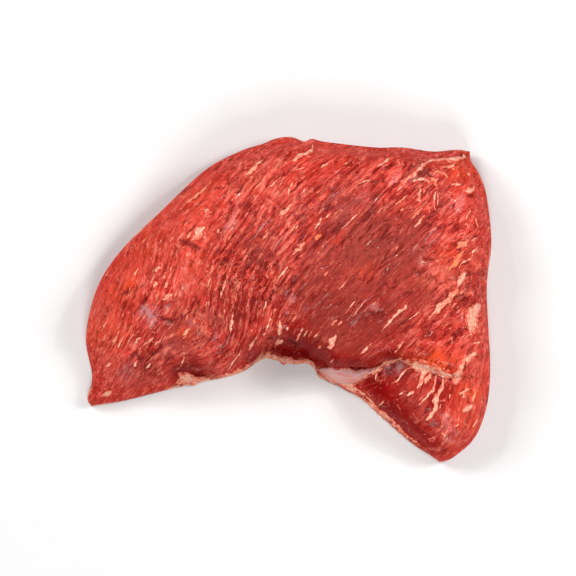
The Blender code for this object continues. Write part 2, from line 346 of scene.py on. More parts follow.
def pit_depth(fibre, x, y):
    """0 to 1 in the short pits: the highest parts of a small ripple, in the wrinkled zones."""
    width, length, _ = PIT
    bumps = strands(PIT_SEED, fibre, width, length, length)
    return smooth_step(0.3, 0.75, bumps) * zone(PIT_ZONES, x, y)


def nick_depth(x, y):
    """Depth of the knife nicks: a bell across each straight cut, and a taper at its ends."""
    depth = np.zeros(x.shape)
    for x0, y0, x1, y1, half, deep in NICKS:
        length = math.hypot(x1 - x0, y1 - y0)
        ux, uy = (x1 - x0) / length, (y1 - y0) / length
        t = ((x - x0) * ux + (y - y0) * uy) / length
        gap = (y - y0) * ux - (x - x0) * uy
        taper = np.sqrt(np.clip(4 * t * (1 - t), 0, 1))
        depth = np.maximum(depth, deep * taper * bell(gap / half))
    return depth


def meat_surface(x, y):
    """The finished top: the bare surface, with fibres, slits, pits and nicks along its normals."""
    points, normal, under, from_rim = bare_surface(x, y)
    fibre = fibre_places(points)
    relief = 0.0
    for k, (width, length, height) in enumerate(FIBRES):
        relief = relief + height * strands(FIBRE_SEED + k, fibre, width, length, width * FIBRE_DEPTH)
    # The slits fade on steep walls, and all of the relief near the floor and the rim.
    slits = slit_depth(fibre) * np.clip(2 * normal[..., 2] - 0.6, 0, 1)
    pits = pit_depth(fibre, x, y)
    nicks = nick_depth(x, y)
    relief = relief - SLIT[2] * slits - PIT[2] * pits - nicks
    relief = relief * np.clip(points[..., 2] / RELIEF_FLOOR - 0.5, 0, 1)
    relief = relief * np.clip(from_rim / RIM_FADE, 0, 1)
    # Painted shade: this mask darkens the colour in the slits, pits and nicks.
    cut_shade = np.clip(slits + PIT_SHADE * pits + NICK_SHADE * nicks, 0, 1)
    return points + normal * relief[..., None], normal, under, fibre, cut_shade


def roll_shares(length, near_start):
    """Shares of a length: close rows over the roll-over at its end, and even ones before."""
    roll = ROLL_SPAN * (1 - np.cos(np.linspace(0, np.pi / 2, ROLL_STEPS + 1)))
    start = roll if near_start else np.array([0.0])
    spacing = TRIAL_SPACING if near_start else SPACING
    end = length - roll[::-1]
    count = round((end[0] - start[-1]) / spacing)
    return np.concatenate([start[:-1], np.linspace(start[-1], end[0], count + 1), end[1:]]) / length


def plan_places(u, v):
    """Plan places on straight sections from the inner to the outer edge, for a grid v of shares."""
    inner, outer, end = edge_lines
    a = point_along(inner, u)[:, None]
    b = point_along(outer, u + FAN * np.sin(np.pi * u))[:, None]
    s = v[..., None]
    chord = (1 - s) * np.array(POINT) + s * np.array(SHOULDER)
    bulge = point_along(end, v) - chord
    return (1 - s) * a + s * b + (u ** END_PULL)[:, None, None] * bulge


def muscle_sections():
    """The grid of plan places, with the rows of each section evenly spaced over its surface."""
    u = roll_shares(SECTION_LENGTH, False)
    trial = roll_shares(SECTION_WIDTH, True)
    places = plan_places(u, np.tile(trial, (len(u), 1)))
    top = heights(places[..., 0], places[..., 1])[0]
    steps = np.linalg.norm(np.diff(np.concatenate([places, top[..., None]], -1), axis=1), axis=-1)
    run = np.concatenate([np.zeros((len(u), 1)), np.cumsum(steps, axis=1)], axis=1)
    even = np.linspace(0, 1, ROWS)
    v = np.array([np.interp(even, r / r[-1], trial) for r in run])
    return plan_places(u, v), u


def muscle_mesh():
    """The closed mesh: the top grid, an underside that shares its rim, and one flat base face."""
    places, u = muscle_sections()
    x, y = places[..., 0], places[..., 1]
    points, normal, under, fibre, cut_shade = meat_surface(x, y)
    columns, rows = x.shape
    i, j = np.mgrid[:columns, :rows]
    rim = (i == 0) | (i == columns - 1) | (j == 0) | (j == rows - 1)
    low, high = BASE_ROWS, rows - 1 - BASE_ROWS
    first = int(np.searchsorted(u * SECTION_LENGTH, BASE_START))
    last = int(np.searchsorted(u * SECTION_LENGTH, SECTION_LENGTH - BASE_INSET))
    points[rim, 2] = under[rim]
    base = (i >= first) & (i <= last) & (j >= low) & (j <= high)
    under[base] = 0.0
    inside = (i > first) & (i < last) & (j > low) & (j < high)

    # Every top place is a vertex, except that the tail's first column is one point.
    above = i * rows + j - (rows - 1)
    above[0] = 0
    below = above.copy()
    own = ~rim & ~inside
    below[own] = above.max() + 1 + np.arange(own.sum())
    lower = np.stack([points[..., 0], points[..., 1], under], -1)
    vertices = np.vstack([points.reshape(-1, 3)[rows - 1:], lower[own]])
    grain_place = np.vstack([fibre.reshape(-1, 3)[rows - 1:], fibre_places(lower)[own]])
    cut_shades, level = (np.concatenate([part.reshape(-1)[rows - 1:], np.zeros(own.sum())])
                   for part in (cut_shade, normal[..., 2]))

    def cells(index, first_column):
        """The four corners of every cell of the grid, from this column on."""
        part = index[first_column:]
        corners = [part[:-1, :-1], part[1:, :-1], part[1:, 1:], part[:-1, 1:]]
        return np.stack([c.ravel() for c in corners], -1)

    solid = base[:-1, :-1] & base[1:, :-1] & base[1:, 1:] & base[:-1, 1:]
    faces = cells(above, 1).tolist()
    faces += cells(below, 1)[~solid[1:].ravel()][:, ::-1].tolist()
    faces += np.stack([np.zeros(rows - 1, int), above[1, :-1], above[1, 1:]], -1).tolist()
    faces += np.stack([np.zeros(rows - 1, int), below[1, 1:], below[1, :-1]], -1).tolist()
    loop = [*below[first:last, low], *below[last, low:high]]
    loop += [*below[last:first:-1, high], *below[first, high:low:-1]]
    faces.append([int(k) for k in reversed(loop)])
    return vertices, faces, grain_place, cut_shades, level


def new_piece(name, vertices, faces, flat_last=False):
    """An object at the origin with this mesh, given in the outline's millimetres."""
    mesh = bpy.data.meshes.new(name)
    placed = (np.asarray(vertices) - shift) * MM
    mesh.from_pydata(placed.tolist(), [], faces)
    smooth = np.ones(len(faces), bool)
    smooth[-1] = not flat_last
    mesh.polygons.foreach_set("use_smooth", smooth)
    piece = bpy.data.objects.new(name, mesh)
    bpy.context.scene.collection.objects.link(piece)
    return piece


def give_attribute(piece, name, values):
    """Stores one number or one vector for each vertex of the piece."""
    values = np.asarray(values, np.float32)
    kind = "FLOAT_VECTOR" if values.ndim == 2 else "FLOAT"
    made = piece.data.attributes.new(name, kind, "POINT")
    made.data.foreach_set("vector" if values.ndim == 2 else "value", values.ravel())


# Colour zones of the muscle, as places (x, y), their size and their strength.
BRIGHT_ZONES = (
    (-92, -8, 16, 1), (-80, 15, 16, 0.9), (-62, 38, 14, 1), (-42, 58, 12, 1), (-85, -38, 12, 0.6),
    (90, 62, 9, 1.2), (84, 54, 9, 0.8), (72, -30, 5, 0.8), (72, 14, 8, 0.7), (82, -30, 5, 0.8),
    (58, -27, 4, 0.6), (88, -52, 10, 0.9), (93, 20, 10, 0.6), (5, 66, 10, 0.7), (22, 70, 12, 0.4),
    (50, 68, 12, 0.3), (-47, 12, 11, 1.1), (-46, 36, 12, 0.8), (-50, -17, 7, 0.9), (80, 18, 7, 0.8),
    (96, -10, 10, 0.5), (86, -68, 10, 0.7),
)
BROWN_ZONES = (
    (40, 30, 18, 1), (28, 12, 15, 0.8), (62, 12, 14, 0.8), (20, -12, 13, 0.7), (50, -8, 12, 0.8),
    (-15, 30, 12, 0.4), (72, -4, 10, 0.5), (15, -20, 14, 1.1), (34, -24, 12, 1.1), (60, 35, 12, 0.7),
    (-48, -22, 10, 0.5), (10, 5, 14, 0.7), (60, -48, 16, 0.8), (-28, -8, 12, 0.6), (-78, -38, 9, 0.6),
    (-50, -10, 9, 0.6), (36, -10, 12, 0.8), (-66, -31, 10, 0.5),
)
# Dark wet red places: painted shade in the pockets and on the wall along the inner edge, where the top
# turns down to the fat, and dark wet red meat on the flap.
WET_AND_SHADE_ZONES = (
    (8, -25, 7, 1), (-2, -25, 6, 1.4), (-54, -35.6, 4.6, 1.5), (-46, -34.8, 4.6, 1.5),
    (-18, -31, 6, 0.9), (50, -27, 5, 0.7), (66, -26, 5, 0.5), (50, -54, 10, 1), (62, -64, 10, 0.8),
    (12, -28, 5, 0.8), (32, -31.5, 4.5, 0.9), (40, -31, 4, 0.6), (-22, -15, 18, 0.25),
    (12, -10, 15, 0.35), (44, -12, 16, 0.4), (52, -38, 10, 0.5), (-50, -12, 8, 0.2), (45, -44, 5, 0.6),
    (76, -44, 6, 0.6), (4, -13, 5, 0.5), (38, -43, 6, 0.6), (70, -73, 7, 0.6), (22, -30, 6, 0.9),
    (72, -52, 6, 0.5),
)
# Wet orange-red places where light comes through, a painted glow, and salmon ones, most on the cut
# broad end.
GLOW_ZONES = (
    (47, -28.5, 2, 0.4), (56, -27.6, 2.5, 0.7), (63, -29.2, 2.8, 0.9), (69.5, -30.6, 3, 1.1),
    (75.5, -32.6, 3.2, 1.2), (80.5, -34.6, 2.6, 1), (72.5, -27.5, 5, 0.8), (80, -29.5, 4, 0.6),
    (93, -47, 4, 0.9), (86, 64, 6, 0.8), (-51, -16, 4, 0.8), (-78, 8, 5, 0.6), (-86, 2, 5, 0.6),
    (-94, -16, 6, 0.6), (-70, 26, 6, 0.5), (14.5, 31, 2, 0.9), (36, 14, 4, 0.4), (78, 22, 5, 0.5),
    (86, -44, 4, 0.5), (90, -60, 5, 0.5), (-7, 9, 4, 0.4), (-20, 56, 5, 0.4), (-45, 50, 6, 0.5),
    (36, -50, 4, 0.9), (44, -57, 4, 0.7), (6, -29, 4, 0.5), (-46, -39, 5, 0.9),
)
SALMON_ZONES = (
    (96, -5, 8, 0.8), (93, -30, 8, 0.9), (96, 20, 7, 0.7), (92, -55, 8, 0.8), (-97, -10, 9, 1.3),
    (-95, -28, 7, 0.8), (73, 12, 8, 1.2), (-47, 33, 11, 0.5), (-50, 13, 10, 0.75), (97, 45, 7, 0.5),
    (82, -70, 7, 0.6), (93, -42, 7, 0.6), (86, 10, 6, 0.5), (-15, 66, 9, 0.5), (-6, 52, 8, 0.4),
    (-72, 12, 7, 0.4), (68, -60, 6, 0.3),
)
# Where the muscle is marbled with many small flecks.
MARBLED_ZONES = (
    (-65, -22, 28, 0.9), (-18, -5, 26, 0.9), (-5, 55, 26, 0.8), (5, -18, 16, 0.6), (90, 0, 22, 0.8),
    (-55, 28, 26, 0.8), (82, -55, 14, 0.6), (55, -20, 14, 0.4), (70, 62, 16, 0.7),
)
# Smooth mauve patches between the streaks.
MAUVE_ZONES = (
    (-52, -20, 11, 1), (-80, -38, 8, 0.7), (-40, -10, 7, 0.8), (30, 45, 14, 0.9), (45, 22, 16, 0.7),
    (8, 45, 9, 0.6), (-14, 28, 9, 0.7), (68, 66, 6, 1), (76, 50, 8, 0.6), (54, -38, 7, 0.8),
    (-22, 52, 7, 0.5), (60, -52, 8, 0.5), (12, 22, 9, 0.6),
)
# Thin lavender film left on the muscle.
SILVER_ZONES = (
    (-68.5, -7.5, 3.5, 1), (-72, -5, 2.5, 0.8), (-80, -36.5, 5, 0.35), (36, 51, 3, 0.25),
    (50, -33, 2.8, 1.2), (55, -33.5, 2.8, 1), (81, -67.8, 3, 0.8), (61.5, 60, 2, 0.9),
    (76, -38, 2, 0.8), (-49, -12, 3, 0.35),
)
# Spans of the rim with a thin line of fat, as places and their size.
RIM_FAT_ZONES = (
    (-73, 32, 6, 1), (-28, -38, 9, 0.9), (-15, -31, 5, 0.8), (22, -42, 8, 1), (36, -50, 8, 1),
    (48, -60, 8, 1), (60, -71, 8, 0.9), (72, -79, 6, 0.7), (99, -20, 6, 0.9), (98, 20, 5, 0.8),
    (-97, -51, 6, 1), (95, 60, 4, 0.8), (5, 80.5, 5, 1), (85, 74.5, 6, 0.9),
)
RIM_FAT_HEIGHT = 1.6
# The cream edge of a lip of fat: how soft it is, its share of the lip's width, and the widths of
# lip that it comes in between.
LIP_MARGIN = 0.6
LIP_SHARE = 0.25
LIP_START = (0.5, 2.0)

# The middle of the outline's box is the origin of the frame.
shift = np.zeros(3)
outline = np.vstack(edge_lines)
box_low, box_high = (np.array(c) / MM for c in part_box("tri_tip"))
shift[:2] = (outline.min(0) + outline.max(0)) / 2 - (box_low + box_high)[:2] / 2


def colour_marks(piece, points, fibre, cut_shade, level):
    """Gives a piece what its colours are worked out from: grain, cuts, level, zones and films.

    The cuts carry painted shade, and the films carry a painted glow too.
    """
    x, y, z = np.moveaxis(np.asarray(points), -1, 0)
    bright, brown, wet, salmon, glow, silver, pitted, marbled, smooth, rim_fat = (
        zone(places, x, y) for places in (
            BRIGHT_ZONES, BROWN_ZONES, WET_AND_SHADE_ZONES, SALMON_ZONES, GLOW_ZONES, SILVER_ZONES,
            PIT_ZONES, MARBLED_ZONES, MAUVE_ZONES, RIM_FAT_ZONES))
    rim_line = bell((z - soft_mean(RIM_HEIGHTS, RIM_REACH, x, y)) / RIM_FAT_HEIGHT) * rim_fat
    out = lip_width(x)
    past_lip = np.abs(distance_to(edge_lines[0], x, y)) - LIP_SHARE * out
    lip = smooth_step(LIP_MARGIN, -LIP_MARGIN, past_lip) * smooth_step(*LIP_START, out)
    give_attribute(piece, "fibre", fibre)
    for name, parts in (
            ("zones", (bright, brown, wet)), ("films_and_glow", (silver, np.maximum(rim_line, lip), glow)),
            ("marks", (cut_shade, salmon, level)), ("forms", (pitted, marbled, smooth))):
        give_attribute(piece, name, np.stack(parts, -1))


muscle_points, muscle_faces, muscle_fibre, muscle_cut_shade, muscle_level = muscle_mesh()
muscle = new_piece("muscle", muscle_points, muscle_faces, flat_last=True)
colour_marks(muscle, muscle_points, muscle_fibre, muscle_cut_shade, muscle_level)


def add_node(tree, kind, inputs=None, **settings):
    """A shader node with its settings, and its inputs linked or set by name or number."""
    made = tree.nodes.new("ShaderNode" + kind)
    for name, value in settings.items():
        setattr(made, name, value)
    for key, value in (inputs or {}).items():
        if isinstance(value, bpy.types.NodeSocket):
            tree.links.new(value, made.inputs[key])
        else:
            made.inputs[key].default_value = value
    return made


def combined(tree, operation, a, b=0.0):
    """The sum, product or other combination of two numbers."""
    return add_node(tree, "Math", {0: a, 1: b}, operation=operation).outputs[0]


def times(tree, a, b):
    """The product of two numbers."""
    return combined(tree, "MULTIPLY", a, b)


def off_middle(tree, value):
    """How far a value is above 0.5, the middle of all noise."""
    return combined(tree, "SUBTRACT", value, 0.5)


def vectors(tree, operation, a, b):
    """The sum or the quotient of two vectors."""
    return add_node(tree, "VectorMath", {0: a, 1: b}, operation=operation).outputs[0]


def packed(tree, x, y, z):
    """A vector made of three numbers."""
    return add_node(tree, "CombineXYZ", {0: x, 1: y, 2: z}).outputs[0]


def parts_of(tree, vector):
    """The three numbers of a vector."""
    return add_node(tree, "SeparateXYZ", {0: vector}).outputs


def spread(tree, value, low, high, start=0.0, end=1.0):
    """The value from low to high, spread over start to end with an S curve."""
    return add_node(tree, "MapRange", {
        "Value": value, "From Min": low, "From Max": high, "To Min": start, "To Max": end,
    }, interpolation_type="SMOOTHSTEP").outputs["Result"]


def tint(tree, share, a, b):
    """Colour a turned into colour b by this share."""
    return add_node(
        tree, "Mix", {0: share, 6: a, 7: b}, data_type="RGBA", clamp_factor=True).outputs[2]


def vector_of(tree, name):
    """The vector stored in the piece's attribute of this name."""
    return add_node(tree, "Attribute", attribute_name=name).outputs["Vector"]


def new_group(name, inputs, outputs):
    """An empty node group with sockets of these names and kinds, what it is given, and its end."""
    group = bpy.data.node_groups.new(name, "ShaderNodeTree")
    for way, sockets in (("INPUT", inputs), ("OUTPUT", outputs)):
        for label, kind in sockets.items():
            group.interface.new_socket(label, in_out=way, socket_type="NodeSocket" + kind)
    given = group.nodes.new("NodeGroupInput").outputs
    return group, given, group.nodes.new("NodeGroupOutput").inputs


# How much deeper than wide a streak is, and how rough its noise.
STREAK_DEPTH = 4.0
STREAK_ROUGHNESS = 0.65


def streaks_group():
    """Noise drawn out along the fibres: the place over width, length and depth, into fractal noise."""
    group, given, end = new_group("Fibre streaks", {
        "Place": "Vector", "Width": "Float", "Length": "Float", "Detail": "Float", "Shift": "Float",
    }, {"Value": "Float"})
    size = packed(group, given["Width"], given["Length"], times(group, given["Width"], STREAK_DEPTH))
    start = packed(group, given["Shift"], given["Shift"], given["Shift"])
    noise = add_node(group, "TexNoise", {
        "Vector": vectors(group, "ADD", vectors(group, "DIVIDE", given["Place"], size), start),
        "Scale": 1.0, "Detail": given["Detail"], "Roughness": STREAK_ROUGHNESS})
    group.links.new(noise.outputs["Fac"], end["Value"])
    return group


streaks = streaks_group()


def streak(tree, place, width, length, detail, offset):
    """Fibre streaks of this width and length in millimetres, from 0 to 1 about 0.5."""
    return add_node(tree, "Group", {
        "Place": place, "Width": width, "Length": length, "Detail": detail, "Shift": offset,
    }, node_tree=streaks).outputs["Value"]


def thin_lines(tree, place, width, length, thickness, offset):
    """Thin long lines along the fibres: 1 where the streaks pass their middle value, 0 off it."""
    away = off_middle(tree, streak(tree, place, width, length, 1.0, offset))
    return spread(tree, combined(tree, "ABSOLUTE", away), 0.0, thickness, 1.0, 0.0)


# Colours of the muscle, from the bottom of a slit to the palest streak.
DEEP_RED = (0.12, 0.002, 0.002, 1)
DARK_RED = (0.27, 0.013, 0.01, 1)
BEEF_RED = (0.51, 0.031, 0.022, 1)
PALE_RED = (0.76, 0.077, 0.056, 1)
STREAK_PINK = (0.96, 0.25, 0.17, 1)
FAT_CREAM = (0.94, 0.52, 0.36, 1)
BRIGHT_RED = (0.87, 0.063, 0.03, 1)
BROWN_RED = (0.34, 0.046, 0.033, 1)
WET_SHADE_RED = (0.27, 0.001, 0.001, 1)
SLOPE_SHADE_RED = (0.62, 0.028, 0.012, 1)
GLOW_RED = (0.88, 0.085, 0.018, 1)
CUT_SALMON = (0.86, 0.15, 0.1, 1)
SILVER = (0.5, 0.23, 0.24, 1)
MAUVE = (0.38, 0.072, 0.062, 1)
TONE_STOPS = (
    (0.395, DEEP_RED), (0.445, DARK_RED), (0.49, BEEF_RED), (0.54, PALE_RED), (0.615, STREAK_PINK),
)
CUT_SHADE = 0.7
# How far the fibres waver in millimetres, where the meat is smooth and where it is wrinkled.
WAVER = (1.8, 6)
CRINKLE_BEND = 1.6
CRINKLE_GAP = 0.13
# What each piece stores for its colours, three numbers in each.
MEAT_ATTRIBUTES = ("fibre", "zones", "films_and_glow", "marks", "forms")


def mixed(tree, *parts):
    """The sum of some values, each multiplied by its share."""
    total = 0
    for value, share in parts:
        total = combined(tree, "ADD", times(tree, value, share), total)
    return total


def crinkles(tree, place, width, length):
    """Gaps between curled bits of meat: 1 on the borders of uneven cells, 0 inside them."""
    bend = times(tree, streak(tree, place, 1.5, 1.5, 1, 17), CRINKLE_BEND)
    size = packed(tree, width, length, STREAK_DEPTH * width)
    cells = add_node(tree, "TexVoronoi", {
        "Vector": vectors(tree, "ADD", vectors(tree, "DIVIDE", place, size), bend), "Scale": 1,
    }, feature="DISTANCE_TO_EDGE")
    return spread(tree, cells.outputs["Distance"], 0, CRINKLE_GAP, 1, 0)


def meat_group():
    """Colour, height and wetness of raw meat, from its place in the grain, cuts, zones and films.

    The cuts darken it with painted shade, and the films add a painted glow too.
    """
    group, given, end = new_group("Raw meat", dict.fromkeys(MEAT_ATTRIBUTES, "Vector"), {
        "Colour": "Color", "Height": "Float", "Wetness": "Float"})
    zones, films_and_glow, marks, forms = (parts_of(group, given[name]) for name in MEAT_ATTRIBUTES[1:])
    bright, brown, wet = zones
    silver, rim_fat, glow = films_and_glow
    cut_shade, salmon, level = marks
    wrinkles, marbled, smooth = forms

    # The fibres waver: noise moves the place across the grain, more where the meat is wrinkled.
    waver = off_middle(group, streak(group, given["fibre"], 3, 6, 3, 71))
    across = times(group, waver, spread(group, wrinkles, 0, 1, *WAVER))
    place = vectors(group, "ADD", given["fibre"], packed(group, across, 0, 0))
    # Noises of many sizes: width, length, detail, and where in the noise.
    broad, bands, fine, hair, lumps, grit, patch, mauve, pink, glint_speck = (
        streak(group, place, *size) for size in (
            (5, 18, 3, 4.6), (2.4, 14, 2, 66), (1.3, 13, 2.5, 11.3),
            (0.6, 4, 2, 27.1), (2.6, 3.6, 3, 33.3), (0.75, 1, 3, 93.7),
            (7, 14, 4, 5.1), (5.5, 11, 4, 83), (1.9, 8, 2.5, 47.7),
            (0.8, 2.2, 1, 52.2)))
    tone = mixed(group, (fine, 0.42), (bands, 0.24), (hair, 0.12), (lumps, 0.14), (grit, 0.08))
    # The streaks are fainter in the brown and bright zones, and stand out in the wrinkled ones.
    gain = times(group, spread(group, brown, 0, 1, 1, 0.8),
                 spread(group, wrinkles, 0, 1, 1, 1.25))
    gain = times(group, gain, spread(group, bright, 0, 1, 1.05, 0.72))
    tone = combined(group, "ADD", times(group, off_middle(group, tone), gain), 0.5)
    ramp = add_node(group, "ValToRGB", {0: tone})
    for k, (at, colour) in enumerate(TONE_STOPS):
        stop = ramp.color_ramp.elements[k] if k < 2 else ramp.color_ramp.elements.new(at)
        stop.position = at
        stop.color = colour
    colour = ramp.outputs["Color"]

    # Painted shade: steep slopes turn a deeper, darker, more saturated red.
    steep_shade = spread(group, level, 0.35, 0.9, 0.75, 0)
    dark = thin_lines(group, place, 2.4, 16, 0.03, 61.5)
    straight = times(group, thin_lines(group, given["fibre"], 1.3, 22, 0.034, 88.8),
                     spread(group, brown, 0.1, 0.8, 0.15, 0.85))
    pale = times(group, thin_lines(group, place, 2.8, 9, 0.024, 41.9),
                 spread(group, brown, 0, 1, 1, 0.3))
    gaps = times(group, crinkles(group, place, 2.1, 3.6), wrinkles)
    # Colours laid over each other. Each has a strength, the noise that it follows with its low and
    # high, and its shares of the colour there. First come the broad zones, which let the streaks
    # show through, then painted shade on steep slopes, a painted glow, pink patches, wet places with
    # painted shade along the inner edge, lines, specks with painted glints, wrinkles with painted
    # shade in their gaps, films and fat.
    for strength, noise, low, high, other, at_low, at_high in (
            (smooth, mauve, 0.4, 0.58, MAUVE, 0.15, 0.85),
            (1, mauve, 0.34, 0.46, BRIGHT_RED, 0.35, 0),
            (bright, patch, 0.38, 0.62, BRIGHT_RED, 0.1, 0.6),
            (brown, patch, 0.38, 0.62, BROWN_RED, 0.85, 0.5),
            (salmon, lumps, 0.36, 0.6, CUT_SALMON, 0.1, 0.9),
            (steep_shade, fine, 0.4, 0.6, SLOPE_SHADE_RED, 0.9, 0.35),
            # Painted glow: orange-red where light comes through the thin wet meat.
            (glow, fine, 0.36, 0.6, GLOW_RED, 0.15, 0.85),
            (marbled, pink, 0.54, 0.68, STREAK_PINK, 0, 0.75),
            # Painted shade along the inner edge, and dark wet red meat on the flap.
            (wet, fine, 0.35, 0.65, WET_SHADE_RED, 1, 0.85),
            (dark, patch, 0.36, 0.54, DEEP_RED, 0.15, 0.75),
            (straight, hair, 0.42, 0.58, DEEP_RED, 0.8, 0.15),
            (pale, lumps, 0.46, 0.62, STREAK_PINK, 0, 0.9),
            # Painted glints: pale pink specks stand in for small wet sparkles.
            (1, glint_speck, 0.68, 0.78, STREAK_PINK, 0, 0.5),
            (1, glint_speck, 0.25, 0.34, DEEP_RED, 0.6, 0),
            # Painted shade: the gaps between the curls turn deep red.
            (gaps, mauve, 0.4, 0.56, DEEP_RED, 0, 0.8),
            (silver, lumps, 0.4, 0.6, SILVER, 0.15, 1),
            (rim_fat, lumps, 0.3, 0.5, FAT_CREAM, 0, 1)):
        share = times(group, strength, spread(group, noise, low, high, at_low, at_high))
        colour = tint(group, share, colour, other)
    # Painted shade: the colour turns deep red in the slits, pits and nicks.
    colour = tint(group, times(group, cut_shade, CUT_SHADE), colour, DEEP_RED)
    height = mixed(group, (fine, 0.6), (bands, 0.6), (hair, 0.35), (lumps, 0.6), (grit, 0.3),
                   (gaps, -0.25))
    wetness = times(group, spread(group, broad, 0.4, 0.6), spread(group, level, 0.5, 0.95))
    for name, value in (("Colour", colour), ("Height", height), ("Wetness", wetness)):
        group.links.new(value, end[name])
    return group


raw_meat = meat_group()
BUMP_DISTANCE = 0.001
BUMP_STRENGTH = 0.9
COAT_ROUGHNESS = 0.1
COAT_IOR = 1.33
MEAT_IOR = 1.15


def new_material(name):
    """A material with its node tree and its Principled shader."""
    material = bpy.data.materials.new(name)
    material.use_nodes = True
    return material, material.node_tree, material.node_tree.nodes["Principled BSDF"]


def wet_material(name, look, dry, wet, coat):
    """Moist meat with a look laid over it: rougher where dry, a thin clear coat where wet, a bump."""
    material, tree, shader = new_material(name)
    stored = {attribute: vector_of(tree, attribute) for attribute in MEAT_ATTRIBUTES}
    meat = add_node(tree, "Group", stored, node_tree=raw_meat).outputs
    colour, height = look(tree, meat)
    bump = add_node(tree, "Bump", {
        "Height": height, "Distance": BUMP_DISTANCE, "Strength": BUMP_STRENGTH})
    for socket, value in (
            ("Base Color", colour), ("Normal", bump.outputs["Normal"]),
            ("Roughness", spread(tree, meat["Wetness"], 0, 1, dry, wet)),
            ("Coat Weight", spread(tree, meat["Wetness"], 0.3, 1, 0, coat))):
        tree.links.new(value, shader.inputs[socket])
    shader.inputs["Coat Roughness"].default_value = COAT_ROUGHNESS
    shader.inputs["Coat IOR"].default_value = COAT_IOR
    shader.inputs["IOR"].default_value = MEAT_IOR
    return material


def muscle_look(tree, meat):
    """Wet raw muscle: red streaks along the fibres, painted shade in the cuts, with hair-thin fat."""
    return meat["Colour"], meat["Height"]


muscle.data.materials.append(wet_material("raw_beef", muscle_look, 0.6, 0.32, 0.42))
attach(muscle, "root")
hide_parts("tri_tip")


# The fat between the muscles. It is soft cream to salmon tissue that the knife cut through: a
# seam round the flap with prongs into it, a seam round the shoulder, blobs on the cut broad end,
# and pads of the underside's fat at the inner edge. Each lies in the meat and stands out a little.

# Each strip: its greatest width, how orange it is, and the places (x, y) that it runs through.
# Two more numbers where they aren't 1: where the greatest width comes, under 1 early and over 1
# late, and how strong the cream colour is.
FLAP_SEAMS = (
    (3, 0.15, ((30, -46.3), (32.5, -42.3), (37, -38.4), (43.5, -34.1), (47.5, -31.6), (51.5, -30.2),
        (55, -29.6), (60, -30.6))),
    (6.2, 0, ((54, -30), (58, -30.6), (62.6, -32.3), (69, -34.3), (75.8, -36.3), (82, -37.9)), 1.1),
    (2.4, 0.95, ((59, -29.4), (65, -30.8), (71, -32.8), (78, -35)), 1, 0.9),
    (5.2, 0.1, ((87.4, -26.3), (86.4, -31.8), (84.8, -36.3), (82, -42.8)), 1.1),
    (1.2, 0.1, ((46.5, -33.4), (43.5, -37.3), (42, -40.3)), 0.8),
    (1.4, 0.05, ((61.5, -32.4), (57, -35.8), (53, -40.3), (48.5, -42.3)), 0.7),
    (5.6, 0.1, ((67.5, -33.5), (65.5, -39.5), (63, -44.5)), 0.8),
    (2.6, 0.1, ((72, -35), (68.5, -38.5), (66.5, -42)), 1.2),
    (1.6, 0.05, ((73, -36.3), (71.5, -43.3), (68.5, -47.8), (63.5, -52.8)), 0.8),
    (4.4, 0.05, ((76.5, -36.3), (75.5, -43.8), (73.5, -49.3), (71.5, -54.8), (67.5, -60.3)), 1.9),
    (2.6, 0.1, ((71.5, -50), (73.5, -55))), (2.6, 0, ((58, -47.8), (62, -45))),
    (0.8, 0, ((53.5, -47.3), (58.5, -44.8))), (1.3, 0.1, ((43, -54.8), (46.5, -50.5))),
    (1.4, 0.3, ((75, -65), (77, -68), (76, -70.6))), (1.1, 0.2, ((77, -68), (79.5, -64))),
    (1.1, 0.2, ((82, -63.8), (85, -61.8))), (1.2, 0.4, ((35, -46.8), (39, -50.5), (44, -56))),
)
SHOULDER_SEAMS = (
    (4.6, 0, ((89.8, 72.4), (86.4, 72.2), (82.2, 71.8), (77, 71.6)), 0.7),
    (2.2, 0.05, ((83, 71.9), (76, 71.9), (72.2, 71.5), (68.4, 69.4), (65.5, 66.6), (62.2, 62.7),
        (58.8, 59.2), (55.5, 56), (52, 53))),
    (1.6, 0.05, ((84.2, 71.6), (81, 68), (78.5, 65.5)), 1, 0.7),
    (3.2, 0.05, ((61, 57.8), (64, 59.4), (67, 59.4), (70.5, 57.6)), 0.8, 0.9),
    (2, 0.7, ((70, 61), (72, 58.8), (73.2, 55.6))),
    (1.8, 0.7, ((70.8, 62.6), (74, 64), (77, 62.4), (79, 60.4)), 1, 0.8),
    (1.4, 0.6, ((75.5, 66.4), (79.5, 66.8), (83, 65)), 1, 0.7),
    (1.8, 0, ((79.6, 56.2), (82.2, 57.6), (84.8, 57.2), (85.6, 58.4)), 1, 0.8),
    (1, 0.05, ((73, 54), (73.6, 49.6), (73, 46)), 1, 0.6),
    (2.2, 0.15, ((64.6, 53.4), (64.2, 50.4), (65, 48)), 1, 0.5),
)
